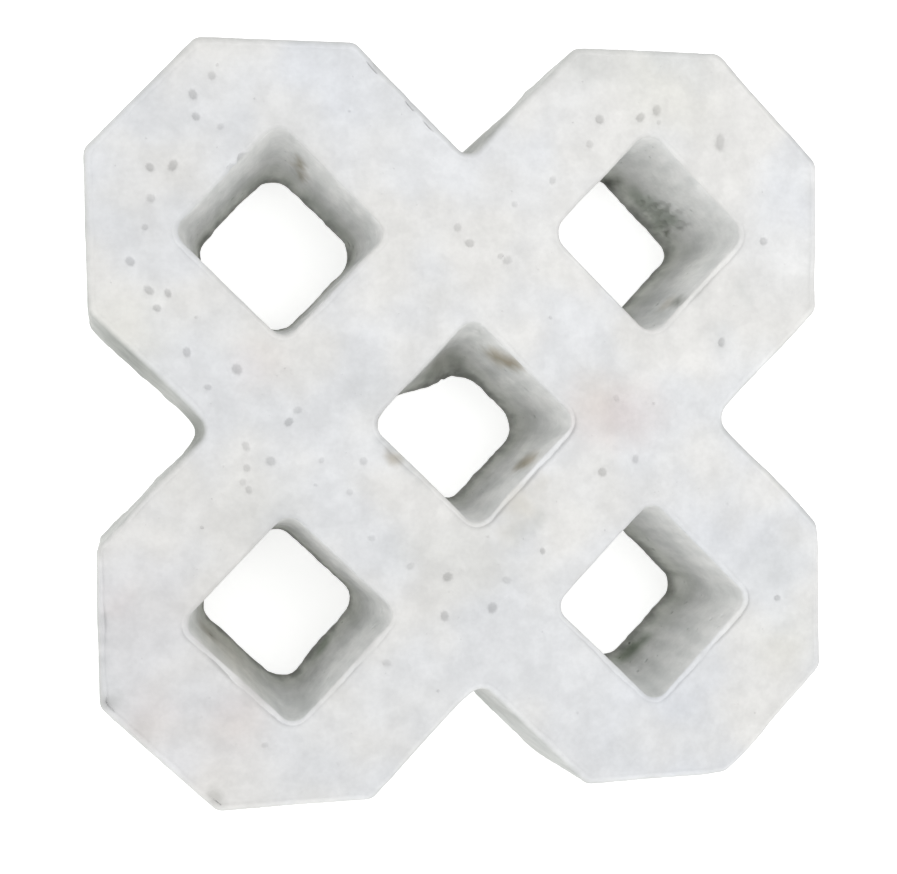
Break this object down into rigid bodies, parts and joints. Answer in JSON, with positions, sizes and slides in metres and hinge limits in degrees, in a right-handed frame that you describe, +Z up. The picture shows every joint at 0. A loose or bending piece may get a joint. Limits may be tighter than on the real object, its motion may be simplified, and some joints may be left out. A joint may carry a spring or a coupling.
{
  "type": "concrete grass paver",
  "caption": "Square cast concrete grid paver with octagonal lobes, diamond openings for grass and V notches that pair up with the next paver.",
  "frame": {"origin": "centre of the underside, on the ground", "axes": "+Z up out of the smooth face, through the thickness; +X and +Y square to the sides, which are alike"},
  "size_m": [0.26, 0.26, 0.06],
  "materials": {
    "concrete": "fine cast concrete, matt, with small air pits"
  },
  "bodies": {
    "root": {"grass_paver": "concrete"}
  },
  "joints": []
}
